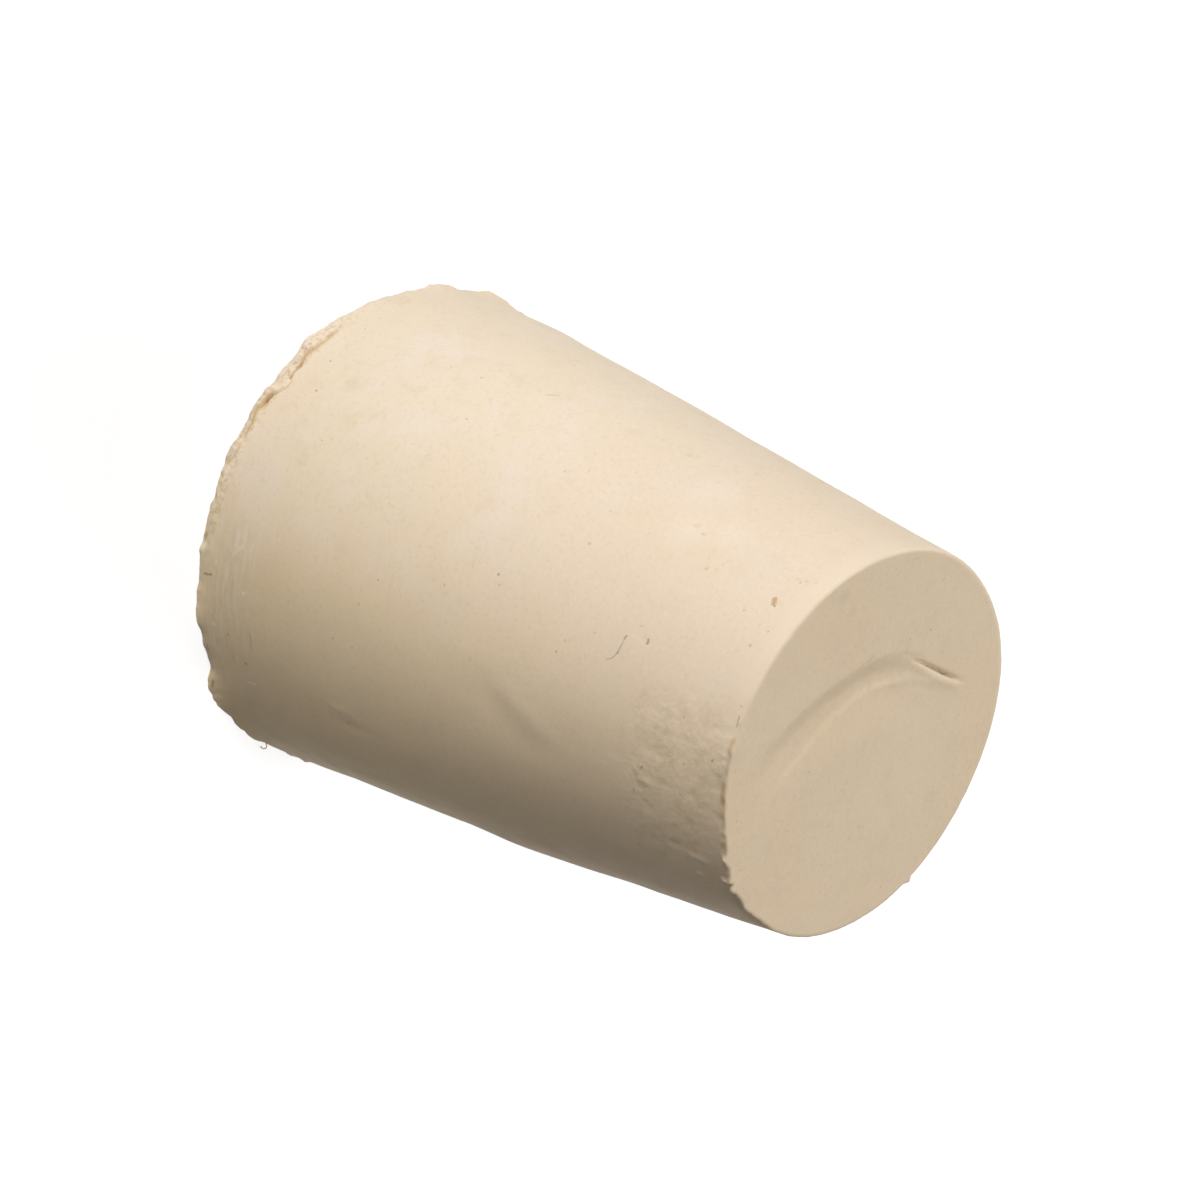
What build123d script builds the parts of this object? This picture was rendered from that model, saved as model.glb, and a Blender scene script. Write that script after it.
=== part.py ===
from build123d import *
from math import cos, exp, pi, radians, sin, tan
import os

# Laboratory rubber stopper, moulded in one piece. It stands on its wide end: the origin is the
# centre of that end, and +Z runs along the axis to the small end. Sizes are in millimetres.
# Angles are in degrees, counted round the axis from +X towards +Y.

# Tapered body: a frustum whose side swells a little, most at a third of its height
height = 24.0
wide_diameter = 19.0
small_diameter = 14.0
side_swell = 0.21
small_rim_chamfer = 0.05

# The small end is trimmed slightly out of square, so its face is highest on one side
face_tilt = 1.7
face_high_side = -139.0

# Flash lip: the thin torn skirt that the mould's parting line leaves round the wide end
lip_thickness = 0.46
lip_overhang = 0.10
lip_points = 240
ripple_reach = 0.02
ripple_counts = (23, 41, 67)
ripple_slant = 90.0
# Section of the lip: share of its thickness, and share of its reach at that level
lip_section = (
    (0.00, 0.65),
    (0.25, 0.95),
    (0.60, 1.00),
    (0.85, 0.70),
    (1.00, 0.20),
)
# Torn tabs of the lip: angle of the crest, fall before it and after it, and reach
lip_tabs = (
    (-175.0, 4.0, 8.0, 0.18),
    (-157.0, 5.0, 4.0, 0.11),
    (-136.0, 9.0, 8.0, 0.14),
    (-118.0, 9.0, 3.5, 0.30),
    (-103.0, 4.0, 6.0, 0.24),
    (-88.0, 5.0, 12.0, 0.26),
    (-60.0, 14.0, 9.0, 0.19),
    (-32.0, 4.0, 7.0, 0.38),
    (-19.0, 9.0, 10.0, 0.20),
    (8.0, 9.0, 20.0, 0.10),
    (60.0, 16.0, 22.0, 0.13),
    (118.0, 20.0, 12.0, 0.16),
    (167.0, 14.0, 3.0, 0.14),
)

# Crack along the root of the lip, deepest at its middle and fading out at both ends
crack_middle = -112.0
crack_half_angle = 17.0
crack_depth = 0.28
crack_mouth = 0.14
crack_below_lip_top = 0.04

# Crescent crease pressed into the small face: a soft groove, steep on its outer side,
# with a deep narrow cleft towards its end. Its line is seen from above, in X and Y.
crease_line = (
    (2.6, -4.15),
    (0.85, -4.2),
    (-1.2, -2.75),
    (-2.9, -0.4),
    (-3.25, 1.5),
    (-3.4, 3.5),
)
crease_depth = 0.26
crease_outer_width = 0.25
crease_inner_width = 0.70
cleft_depth = 0.80
cleft_outer_width = 0.14
cleft_inner_width = 0.20
cleft_first = 0.66
cleft_last = 0.97
groove_steps = 14
groove_thinnest = 0.08
groove_clearance = 0.30

wide_radius = wide_diameter / 2
small_radius = small_diameter / 2


def side_radius(level):
    """Radius of the swollen side at a level above the wide end."""
    share = level / height
    straight = wide_radius + (small_radius - wide_radius) * share
    return straight + side_swell * share * (1 - share) ** 2 * 27 / 4


def lip_reach(angle, share):
    """How far the lip stands out past the side, at an angle and a share of its thickness."""
    reach = lip_overhang
    for count in ripple_counts:
        reach += ripple_reach * sin(radians(count * angle + ripple_slant * share))
    for crest, before, after, tab_reach in lip_tabs:
        away = (angle - crest + 180) % 360 - 180
        fall = after if away > 0 else before
        reach += tab_reach * exp(-((away / fall) ** 2))
    return reach


def lip_outline(share, reach_share):
    """Points of the lip's outline at a share of its thickness and of its full reach."""
    points = []
    for step in range(lip_points):
        angle = 360 * step / lip_points
        radius = side_radius(lip_thickness * share) + reach_share * lip_reach(angle, share)
        points.append((radius * cos(radians(angle)), radius * sin(radians(angle))))
    return points


# Plane of the small face. Its normal leans away from the side that stands highest.
high_side = Vector(cos(radians(face_high_side)), sin(radians(face_high_side)), 0)
face_uphill = high_side * cos(radians(face_tilt)) + Vector(0, 0, sin(radians(face_tilt)))
face_normal = Vector(0, 0, cos(radians(face_tilt))) - high_side * sin(radians(face_tilt))
face_plane = Plane(origin=(0, 0, height), x_dir=face_uphill, z_dir=face_normal)


def on_face(x, y):
    """The point of the small face that lies over x and y."""
    rise = tan(radians(face_tilt)) * Vector(x, y, 0).dot(high_side)
    return Vector(x, y, height + rise)


def groove(line, first, last, depth, outer_width, inner_width):
    """Solid to cut from the small face: a V along part of a line, thinning to both its ends."""
    with BuildPart() as cutter:
        for step in range(groove_steps + 1):
            share = step / groove_steps
            place = first + (last - first) * share
            along = line % place
            across = face_normal.cross(along)
            size = groove_thinnest + (1 - groove_thinnest) * sin(pi * share)
            with BuildSketch(Plane(origin=line @ place, x_dir=across, z_dir=along)):
                with BuildLine():
                    Polyline(
                        (0, -depth * size),
                        (outer_width * size, 0),
                        (outer_width * size, groove_clearance),
                        (-inner_width * size, groove_clearance),
                        (-inner_width * size, 0),
                        close=True,
                    )
                make_face()
        loft(ruled=True)
    return cutter.part


# Crack cutter: a thin ring with a sharp inner edge. It is larger than the stopper and set off
# its axis, so that its edge bites in only round the crack's middle.
crack_level = lip_thickness - crack_below_lip_top
crack_offset = crack_depth / (1 - cos(radians(crack_half_angle)))
crack_edge_radius = side_radius(crack_level) - crack_depth + crack_offset
crack_slope = crack_mouth / 2 / crack_depth
crack_reach = 2 * crack_depth + wide_radius - small_radius
crack_centre = Plane(
    origin=(
        -crack_offset * cos(radians(crack_middle)),
        -crack_offset * sin(radians(crack_middle)),
        crack_level,
    ),
    x_dir=(cos(radians(crack_middle)), sin(radians(crack_middle)), 0),
    z_dir=(-sin(radians(crack_middle)), cos(radians(crack_middle)), 0),
)
with BuildPart() as crack:
    with BuildSketch(crack_centre):
        with BuildLine():
            Polyline(
                (crack_edge_radius, 0),
                (crack_edge_radius + crack_reach, crack_reach * crack_slope),
                (crack_edge_radius + crack_reach, -crack_reach * crack_slope),
                close=True,
            )
        make_face()
    revolve(axis=Axis(crack_centre.origin, (0, 0, 1)))

# Crease cutters, along one line that lies in the small face
with BuildLine() as crease:
    Spline([on_face(x, y) for x, y in crease_line])
crease_cut = groove(
    crease.line, 0, 1, crease_depth, crease_outer_width, crease_inner_width
)
cleft_cut = groove(
    crease.line, cleft_first, cleft_last, cleft_depth, cleft_outer_width, cleft_inner_width
)

# The stopper itself. Its side has an edge just over the lip, so that the lip's ragged root
# stays within a narrow band, and it starts past the small face, which is then trimmed.
root_level = lip_thickness / 2
band_level = 2 * lip_thickness
top_level = height + 2 * small_radius * tan(radians(face_tilt))
side_levels = [band_level + (top_level - band_level) * share for share in (0, 1 / 3, 2 / 3, 1)]
with BuildPart() as stopper:
    with BuildSketch(Plane.XZ):
        with BuildLine():
            band = Line(
                (side_radius(root_level), root_level), (side_radius(band_level), band_level)
            )
            side = Spline([(side_radius(level), level) for level in side_levels])
            Polyline(side @ 1, (0, top_level), (0, root_level), band @ 0)
        make_face()
    revolve(axis=Axis.Z)
    # small face, trimmed out of square, with its crisp rim
    split(bisect_by=face_plane, keep=Keep.BOTTOM)
    small_face = stopper.faces().sort_by(Axis.Z)[-1]
    chamfer(small_face.edges(), length=small_rim_chamfer)
    # wide end with its torn lip
    for share, reach_share in lip_section:
        with BuildSketch(Plane.XY.offset(lip_thickness * share)):
            with BuildLine():
                Spline(lip_outline(share, reach_share), periodic=True)
            make_face()
    loft(ruled=True)
    # crack and crease
    add(crack.part, mode=Mode.SUBTRACT)
    add(crease_cut, mode=Mode.SUBTRACT)
    add(cleft_cut, mode=Mode.SUBTRACT)

os.makedirs("parts", exist_ok=True)
stopper.part.label = "stopper"
export_step(stopper.part, "parts/stopper.step")
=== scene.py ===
from math import cos, pi, radians, sin, tan

import bpy
import numpy as np
from mathutils import Matrix, Vector, noise


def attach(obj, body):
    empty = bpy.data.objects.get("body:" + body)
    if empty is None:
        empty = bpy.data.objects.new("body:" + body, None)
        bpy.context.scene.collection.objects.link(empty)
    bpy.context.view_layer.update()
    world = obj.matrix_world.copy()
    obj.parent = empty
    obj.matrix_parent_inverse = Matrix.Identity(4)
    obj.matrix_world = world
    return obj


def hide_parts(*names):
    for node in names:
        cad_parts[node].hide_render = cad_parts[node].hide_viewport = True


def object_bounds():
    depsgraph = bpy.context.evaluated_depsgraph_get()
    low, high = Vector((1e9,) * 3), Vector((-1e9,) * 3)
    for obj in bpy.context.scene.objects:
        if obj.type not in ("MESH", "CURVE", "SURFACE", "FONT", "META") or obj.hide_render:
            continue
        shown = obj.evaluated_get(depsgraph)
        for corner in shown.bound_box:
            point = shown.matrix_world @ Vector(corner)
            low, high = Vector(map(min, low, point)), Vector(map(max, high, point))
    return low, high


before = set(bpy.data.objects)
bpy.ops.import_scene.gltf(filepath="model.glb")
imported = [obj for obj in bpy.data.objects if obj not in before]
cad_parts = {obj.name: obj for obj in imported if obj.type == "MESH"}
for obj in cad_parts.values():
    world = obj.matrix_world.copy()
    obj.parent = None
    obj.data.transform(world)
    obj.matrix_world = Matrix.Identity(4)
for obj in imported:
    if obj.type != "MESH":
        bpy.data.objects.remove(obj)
cad_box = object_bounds()


# Stopper body. The whole object is this one plug of cream rubber, pressed in a mould: a taper
# whose side swells a little, with the small end trimmed out of square. Sizes are in millimetres
# and angles in degrees, round the axis from +X. The mesh is turned to metres at the end.
height = 24.0
wide_radius = 9.5
small_radius = 7.0
side_swell = 0.21
swell_scale = 27 / 4  # brings the curve of the swell up to 1 where it is highest
face_tilt = 1.7
face_high_side = -139.0


def side_radius(level):
    """Radius of the swollen side at a level above the wide end."""
    share = level / height
    straight = wide_radius + (small_radius - wide_radius) * share
    return straight + side_swell * share * (1 - share) ** 2 * swell_scale


def face_level(x, y):
    """Level of the trimmed small face over x and y."""
    high = radians(face_high_side)
    return height + tan(radians(face_tilt)) * (x * cos(high) + y * sin(high))


def on_side(level, angle):
    """Point of the plain side at a level and an angle."""
    radius = side_radius(level)
    return Vector((radius * cos(radians(angle)), radius * sin(radians(angle)), level))


def around(radius, turns, level):
    """Points round the axis, from their radius, angle and level."""
    x = radius * np.cos(np.radians(turns))
    y = radius * np.sin(np.radians(turns))
    return np.stack([x, y, level + 0 * turns], -1)


def away_from(angle, middle):
    """Angle from a place round the axis, between -180 and 180."""
    return (angle - middle + 180) % 360 - 180


salt_shifts = (17.3, 5.1, 9.7)


def unevenness(points, size, salt):
    """Smooth random relief between about -1 and 1, with features of one size, at each point."""
    shift = Vector([salt * salt_shift for salt_shift in salt_shifts])
    flat = points.reshape(-1, 3) / size
    values = [noise.noise(Vector(point) + shift) for point in flat.tolist()]
    return np.array(values).reshape(points.shape[:-1])


def layered(points, layers):
    """Several layers of unevenness together, each from its rise, size and salt."""
    return sum(rise * unevenness(points, size, salt) for rise, size, salt in layers)


def fade(value, first, last):
    """Smooth step from 0 at first to 1 at last."""
    share = np.clip((value - first) / (last - first), 0, 1)
    return share * share * (3 - 2 * share)


# Columns stand closer on the worn side of the stopper. Rings stand closest at the torn lip,
# the pitted band under the small rim, and the crease.
angles = np.concatenate([np.arange(-190, 10, 0.6), np.arange(10, 170, 1.2)])
lip_levels = np.concatenate([np.linspace(0, 0.30, 13), np.linspace(0.33, 0.66, 12)])
root_levels = np.linspace(0.70, 1.1, 6)
low_levels = np.linspace(1.25, 3.2, 11)
side_levels = np.linspace(3.6, 19.2, 34)
band_start = 19.6
band_shares = np.concatenate([np.linspace(0, 0.93, 36), np.linspace(0.945, 1, 5)])

rim_drop = 0.04
rim_edge = around(small_radius, angles, 0.0)
rim_level = face_level(rim_edge[:, 0], rim_edge[:, 1]) - rim_drop
rim_edge[:, 2] = rim_level
fixed = np.concatenate([lip_levels, root_levels, low_levels, side_levels])
levels = np.concatenate([
    np.repeat(fixed[:, None], len(angles), 1),
    band_start + (rim_level[None, :] - band_start) * band_shares[:, None],
])
turns = np.repeat(angles[None, :], len(levels), 0)
wall = side_radius(levels)
plain = around(wall, turns, levels)

# The mould's surface is not quite even, and the small end is a little out of round. Each place
# has the angle of its middle, its spread in degrees and its rise.
wall += layered(plain, ((0.030, 5.0, 1),)) * fade(levels, 0.3, 3)
wall += layered(plain, ((0.014, 2.2, 2), (0.006, 1.1, 20), (0.003, 0.5, 3)))
out_of_round = (
    (130, 28, 0.095),
    (50, 20, 0.04),
    (-62, 40, 0.02),
    (-4, 15, -0.09),
    (-176, 12, 0.03),
)
for middle, spread, rise in out_of_round:
    wall += rise * np.exp(-(away_from(turns, middle) / spread) ** 2) * fade(levels, 12, 23)

# Torn flash lip round the wide end: a ragged skirt. Where it is cracked it is rolled and thick,
# with a section in shares of its thickness and reach. Elsewhere the side flares out with the
# broad tabs only, into a thin edge that follows every tab. Thicknesses and flares go by angle.
# A tab, where the flash tore off last, has the angle of its crest, the degrees over which it
# falls before it and after it, and its reach.
lip_section = ((0.0, 0.95), (0.45, 1.00), (0.75, 0.90), (0.95, 0.38), (1.10, 0.08), (1.4, 0.0))
lip_thicknesses = (
    (-190, 0.24), (-160, 0.26), (-132, 0.42), (-108, 0.44), (-104, 0.28), (-91, 0.27),
    (-87, 0.16), (-66, 0.15), (-46, 0.18), (-37, 0.24), (-27, 0.20), (-8, 0.20), (170, 0.24),
)
lip_flares = (
    (-190, 0.42), (-60, 0.42), (-44, 0.62), (-34, 0.80), (-18, 0.75), (0, 0.50), (170, 0.42),
)
lip_edge = 0.18
broad_tab = 7.0
lip_overhang = 0.06
lip_tabs = (
    (-176.0, 6.0, 5.0, 0.26),
    (-158.0, 5.0, 4.0, 0.17),
    (-139.0, 4.0, 8.0, 0.08),
    (-120.0, 8.0, 4.0, 0.28),
    (-103.0, 7.0, 4.0, 0.10),
    (-90.0, 3.0, 2.0, 0.14),
    (-82.0, 6.0, 12.0, 0.04),
    (-74.0, 9.0, 7.0, -0.040),
    (-68.0, 1.6, 1.4, 0.11),
    (-53.0, 6.0, 8.0, 0.16),
    (-36.0, 1.4, 4.0, 0.30),
    (-29.5, 5.0, 6.0, 0.42),
    (-19.0, 5.0, 8.0, 0.25),
    (8.0, 9.0, 20.0, 0.08),
    (60.0, 16.0, 22.0, 0.13),
    (118.0, 20.0, 12.0, 0.16),
    (169.0, 12.0, 8.0, 0.14),
)
wide_edge = around(wide_radius, angles, 0.0)
chance = np.random.default_rng(7)
tear_count = 240
tear_start = -195
tear_reach = 0.042
tear_corners = np.cumsum(chance.uniform(0.8, 2.6, tear_count)) + tear_start
tear_steps = chance.uniform(-1, 1, tear_count)
lip_tear = layered(wide_edge, ((0.022, 0.55, 4), (0.020, 0.2, 21)))
lip_tear += tear_reach * np.interp(angles, tear_corners, tear_steps)
lip_reach = lip_overhang + 0 * angles
for crest, before, after, reach in lip_tabs:
    away = away_from(angles, crest)
    lip_reach += reach * np.exp(-(away / np.where(away > 0, after, before)) ** 2)
lip_top = np.interp(angles, *zip(*lip_thicknesses))
lip_top *= 1 + layered(wide_edge, ((0.14, 1.1, 6), (0.10, 0.3, 7)))
lip_share = levels / lip_top[None, :]
rolled = fade(turns, -123, -114) * (1 - fade(turns, -98, -84))
column_widths = np.diff(np.append(angles, angles[0] + 360))
nearness = np.exp(-(away_from(angles[:, None], angles[None, :]) / broad_tab) ** 2)
broad_reach = nearness @ (lip_reach * column_widths) / (nearness @ column_widths)
section = rolled * np.interp(lip_share, *zip(*lip_section))
lip_flare = np.interp(angles, *zip(*lip_flares))
flare = (1 - rolled) * (1 - fade(levels, 1.4, 3.0))
wall += (lip_reach + lip_tear) * section
wall += flare * broad_reach * np.exp(-levels / lip_flare)
wall += flare * (lip_reach - broad_reach + lip_tear) * np.exp(-levels / lip_edge)
ragged = fade(turns, -136, -123) * (1 - fade(turns, -78, -66))
torn = np.maximum(1 - fade(lip_share, 0.9, 1.5), 0.8 * (1 - fade(levels, 0.34, 0.62)))
torn *= 0.15 + 0.85 * ragged
wall += torn * layered(plain, ((0.050, 0.30, 8), (0.034, 0.16, 9)))

# Crack along the root of the lip: angle, level and depth
lip_crack = (
    (-127.5, 0.40, 0.00),
    (-125.7, 0.42, 0.09),
    (-122.7, 0.45, 0.12),
    (-120.1, 0.40, 0.15),
    (-117.1, 0.36, 0.10),
    (-115.6, 0.42, 0.20),
    (-114.3, 0.45, 0.30),
    (-112.6, 0.42, 0.20),
    (-110.8, 0.46, 0.24),
    (-110.3, 0.62, 0.10),
    (-108.1, 0.60, 0.08),
    (-106.4, 0.42, 0.10),
    (-105.4, 0.31, 0.20),
    (-104.0, 0.26, 0.34),
    (-102.6, 0.28, 0.16),
    (-101.0, 0.20, 0.12),
    (-97.0, 0.26, 0.08),
    (-91.0, 0.28, 0.00),
)
crack_mouth = 0.038
crack_cut_share = 0.85


def stroke_away(first_level, first_angle, last_level, last_angle):
    """Distance of the wall's points from a stroke between two places, on the unrolled side."""
    radius = side_radius(first_level)
    run = radians(away_from(last_angle, first_angle)) * radius
    rise = last_level - first_level
    across = np.radians(away_from(turns, first_angle)) * radius
    over = levels - first_level
    share = np.clip((across * run + over * rise) / max(run ** 2 + rise ** 2, 1e-6), 0, 1)
    return np.hypot(across - share * run, over - share * rise)


crack_away = np.full(wall.shape, 9.0)
for (angle, level, _), (next_angle, next_level, _) in zip(lip_crack, lip_crack[1:]):
    crack_away = np.minimum(crack_away, stroke_away(level, angle, next_level, next_angle))
crack_away /= crack_mouth
crack_angles, _, crack_depths = zip(*lip_crack)
crack_cut = np.interp(turns, crack_angles, crack_depths)
wall -= crack_cut_share * crack_cut * np.clip(1 - crack_away, 0, 1)

# Dents and bumps in the side: level and angle of both ends, width and height
side_marks = (
    (0.00, -118.3, 0.34, -117.0, 0.05, -0.070),
    (0.12, -116.2, 0.24, -115.6, 0.10, 0.050),
    (2.98, -115.7, 2.98, -115.7, 0.34, -0.030),
    (14.58, -65.0, 16.46, -58.3, 0.45, 0.030),
    (13.97, -62.6, 15.83, -53.5, 0.70, -0.034),
    (6.90, -42.0, 7.20, -40.0, 0.16, 0.040),
    (7.15, -38.6, 7.45, -37.2, 0.18, -0.040),
    (20.68, -60.4, 20.53, -58.6, 0.11, 0.020),
    (20.53, -58.6, 20.72, -56.3, 0.11, 0.020),
    (20.72, -56.3, 21.07, -55.8, 0.11, 0.020),
    (23.67, -65.4, 23.73, -61.9, 0.09, -0.025),
    (22.94, -114.6, 22.94, -114.6, 0.10, -0.050),
    (19.66, -90.8, 19.66, -90.8, 0.09, -0.035),
    (22.67, -47.8, 22.67, -47.8, 0.20, -0.020),
    (1.19, -123.5, 2.30, -119.5, 0.10, 0.015),
    (0.95, -66.0, 0.85, -48.0, 0.10, 0.015),
    (13.60, -176.0, 13.70, -160.0, 0.60, -0.020),
    (4.00, -4.0, 9.00, -4.0, 2.30, -0.105),
    (13.00, -4.0, 15.00, -4.0, 2.00, 0.090),
    (19.50, -4.0, 21.50, -4.0, 1.70, 0.080),
    (1.20, 172.0, 3.20, 175.0, 1.10, 0.085),
    (23.60, -31.3, 23.84, -31.2, 0.06, 0.130),
    (23.79, -71.8, 23.79, -71.8, 0.06, 0.030),
    (23.85, -69.6, 23.85, -69.6, 0.05, 0.040),
    (21.64, -38.4, 21.90, -37.9, 0.10, 0.010),
    (22.55, -38.0, 23.07, -36.8, 0.12, 0.018),
    (22.57, -31.2, 22.80, -30.8, 0.07, 0.030),
    (1.58, -69.5, 1.95, -72.0, 0.10, 0.030),
)
for first_level, first_angle, last_level, last_angle, width, rise in side_marks:
    far = stroke_away(first_level, first_angle, last_level, last_angle)
    wall += rise * np.exp(-(far / width) ** 2)

# Brown in the crack, darkest where it is deepest, is painted shade; round it goes a blotchy brown
# halo, and a broken brown band runs along the root of the lip. The marks after it darken nicks of
# the lip, from both ends, width and strength.
crack_halo = 0.13
crack_shade = np.clip(1.3 - 1.05 * crack_away, 0, 1) * fade(crack_cut, 0, 0.07)
crack_shade *= 0.50 + 0.50 * fade(crack_cut, 0.15, 0.30)
blotches = layered(plain, ((1.0, 0.7, 18), (0.6, 0.25, 19)))
round_crack = np.exp(-(crack_away * crack_mouth / crack_halo) ** 2) * fade(crack_cut, 0, 0.07)
round_crack *= 0.36 * fade(blotches, -0.3, 0.4)
lip_root_brown = np.exp(-((lip_share - 1.05) / 0.16) ** 2) * fade(blotches, 0.0, 0.5)
lip_root_brown *= 0.40 * fade(turns, -112, -96) * (1 - fade(turns, -26, -14))
stain_and_shade = np.maximum(np.maximum(crack_shade, lip_root_brown), round_crack)
dark_nicks = (
    (0.00, -118.3, 0.34, -117.0, 0.035, 0.50),
    (0.00, -132.9, 0.40, -132.4, 0.030, 0.25),
    (0.37, -79.2, 0.37, -78.2, 0.040, 0.30),
    (0.10, -71.5, 0.10, -70.9, 0.080, 0.75),
    (0.16, -35.6, 0.10, -34.4, 0.070, 0.65),
)
for first_level, first_angle, last_level, last_angle, width, strength in dark_nicks:
    far = stroke_away(first_level, first_angle, last_level, last_angle)
    stain_and_shade = np.maximum(stain_and_shade, strength * np.exp(-(far / width) ** 2))

# Pitted band under the small rim, where the rubber stuck to the mould
pitted = fade(levels, 19.4, 20.6) * fade(turns, -92, -78) * (1 - fade(turns, -36, -22))
pit_depth = 0.028
pit_ridge = 0.014
pits = layered(plain, ((1.0, 0.55, 10), (0.5, 0.28, 11)))
wall -= pit_depth * pitted * np.clip(pits - 0.10, 0, 1)
wall += pit_ridge * pitted * np.clip(-pits - 0.15, 0, 1)

# Small rim: a crisp trimmed edge. On one side it is bitten back and torn into teeth, each with
# its angle and how far it stands out. Two burrs stick out elsewhere, each with its angle, its
# spread in degrees and its reach.
rim_teeth = (
    (-66.0, 0.00), (-60.0, 0.02), (-53.6, -0.05), (-44.0, -0.09), (-41.2, -0.04), (-39.8, 0.13),
    (-37.8, 0.05), (-35.9, -0.06), (-33.5, 0.02), (-31.7, 0.14), (-30.5, 0.02), (-28.8, 0.22),
    (-26.0, 0.06), (-22.4, 0.00), (-19.3, 0.09), (-15.0, 0.06), (-12.0, 0.03), (-6.0, 0.0),
)
rim_burrs = ((58.8, 0.8, 0.22), (-73.7, 1.2, 0.07))
bite_depth = 0.12
bitten = fade(angles, -74, -58) * (1 - fade(angles, -12, 0))
rim_reach = layered(rim_edge, ((0.014, 0.5, 14), (0.012, 0.22, 22)))
rim_reach += np.interp(angles, *zip(*rim_teeth))
rim_reach += bitten * layered(rim_edge, ((0.045, 0.25, 13),))
for middle, spread, reach in rim_burrs:
    rim_reach += reach * np.exp(-(away_from(angles, middle) / spread) ** 2)
from_rim = rim_level[None, :] - levels
wall -= bite_depth * bitten[None, :] * (1 - fade(from_rim, 0.1, 1.5))
wall += rim_reach[None, :] * (1 - fade(from_rim, 0.0, 0.16))
# Painted shade: brown just under the small rim where it is bitten and torn
rim_shade = (1 - fade(from_rim, 0.08, 0.24)) * fade(turns, -88, -80) * (1 - fade(turns, -30, -12))
stain_and_shade = np.maximum(stain_and_shade, 0.52 * rim_shade * fade(blotches, -0.3, 0.5))
wall_points = around(wall, turns, levels)

# Small face with its crescent crease: a soft step down to a floor that comes back up at an inner
# edge, then a short narrow cleft with a low lip. Lines are in X and Y. The faint folds beside
# both have the X and Y of both ends, a width and a rise.
crease_line = (
    (9.0, -6.6),
    (5.0, -5.6),
    (2.2, -4.88),
    (1.45, -4.65),
    (0.69, -4.29),
    (-0.09, -3.82),
    (-0.81, -3.27),
    (-1.46, -2.64),
    (-2.15, -1.95),
    (-2.76, -1.03),
    (-3.12, -0.20),
    (-3.27, 0.7),
    (-3.33, 2.2),
    (-3.40, 3.8),
    (-3.6, 9.0),
)
crease_depth = 0.20
crease_width = 0.42
crease_middle = (-0.15, -3.5)
crease_heading = (-0.83, 0.55)
crease_centre = 1.0
crease_half_length = 3.4
inner_edge = ((-1.0, 1.15), (2.0, 0.62))
inner_edge_width = 0.34
inner_edge_rise = 0.28
floor_start = 0.3
floor_width = 2.7
floor_rise = 0.72
cleft_line = (
    (-3.28, 0.10),
    (-3.33, 1.3),
    (-3.34, 2.5),
    (-3.42, 3.9),
)
cleft_depth = 0.30
cleft_width = 0.075
cleft_lip_rise = 0.025
cleft_lip_away = 0.24
cleft_lip_width = 0.10
faint_folds = (
    (-1.91, -0.92, -2.36, 0.0, 0.22, 0.020),
    (-2.36, 0.0, -2.58, 0.53, 0.20, 0.020),
    (-2.58, 0.53, -2.95, 2.0, 0.18, 0.018),
    (-2.95, 2.0, -3.15, 3.45, 0.16, 0.016),
    (-3.32, -0.3, -3.50, 0.75, 0.08, -0.016),
    (-2.46, -2.05, -2.74, -1.84, 0.07, -0.020),
)


def smooth_line(corners, steps):
    """Points of a smooth line through the corners, and the share of its length at each."""
    corners = np.array([2 * np.array(corners[0]) - corners[1], *corners,
                        2 * np.array(corners[-1]) - corners[-2]])
    pieces = []
    for a, b, c, d in zip(corners, corners[1:], corners[2:], corners[3:]):
        t = np.linspace(0, 1, steps, endpoint=False)[:, None]
        pieces.append(0.5 * (2 * b + (c - a) * t + (2 * a - 5 * b + 4 * c - d) * t ** 2
                             + (3 * b - a - 3 * c + d) * t ** 3))
    line = np.concatenate([*pieces, corners[-2:-1]])
    run = np.concatenate([[0], np.cumsum(np.linalg.norm(np.diff(line, axis=0), axis=1))])
    return line, run / run[-1]


line_steps = 24
crease, _ = smooth_line(crease_line, line_steps)
cleft, cleft_share = smooth_line(cleft_line, line_steps)


def from_line(points, line):
    """Distance of each point from a line, positive on its left, and the nearest point of it."""
    gaps = np.linalg.norm(points[..., None, :] - line, axis=-1)
    nearest = gaps.argmin(-1)
    gap = np.take_along_axis(gaps, nearest[..., None], -1)[..., 0]
    ahead = line[np.minimum(nearest + 1, len(line) - 1)] - line[np.maximum(nearest - 1, 0)]
    off = points - line[nearest]
    left = ahead[..., 0] * off[..., 1] - ahead[..., 1] * off[..., 0] > 0
    return np.where(left, gap, -gap), nearest


def crease_relief(x, y):
    """Height of the small face over its plane: the crease, the cleft and the faint folds."""
    flat = np.stack([x, y], -1)
    out, _ = from_line(flat, crease)
    from_middle = flat - np.array(crease_middle)
    along = from_middle @ np.array(crease_heading)
    swell = np.exp(-((along - crease_centre) / crease_half_length) ** 4)
    inner = np.interp(along, *zip(*inner_edge))
    risen = inner_edge_rise * fade(-out, inner, inner + inner_edge_width)
    risen += floor_rise * fade(-out, floor_start, floor_width)
    step_down = 1 - fade(out, -crease_width, crease_width)
    relief = -crease_depth * swell * (1 - risen) * step_down
    out, nearest = from_line(flat, cleft)
    swell = np.sin(pi * cleft_share[nearest]) ** 1.3
    relief -= cleft_depth * swell * np.clip(1 - abs(out) / cleft_width, 0, 1)
    relief += cleft_lip_rise * swell * np.exp(-((out + cleft_lip_away) / cleft_lip_width) ** 2)
    for first_x, first_y, last_x, last_y, width, rise in faint_folds:
        run = np.array([last_x - first_x, last_y - first_y])
        from_first = flat - np.array([first_x, first_y])
        along = np.clip(from_first @ run / (run @ run), 0, 1)
        far = np.linalg.norm(from_first - along[..., None] * run, axis=-1)
        relief += rise * np.exp(-(far / width) ** 2)
    return relief


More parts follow.
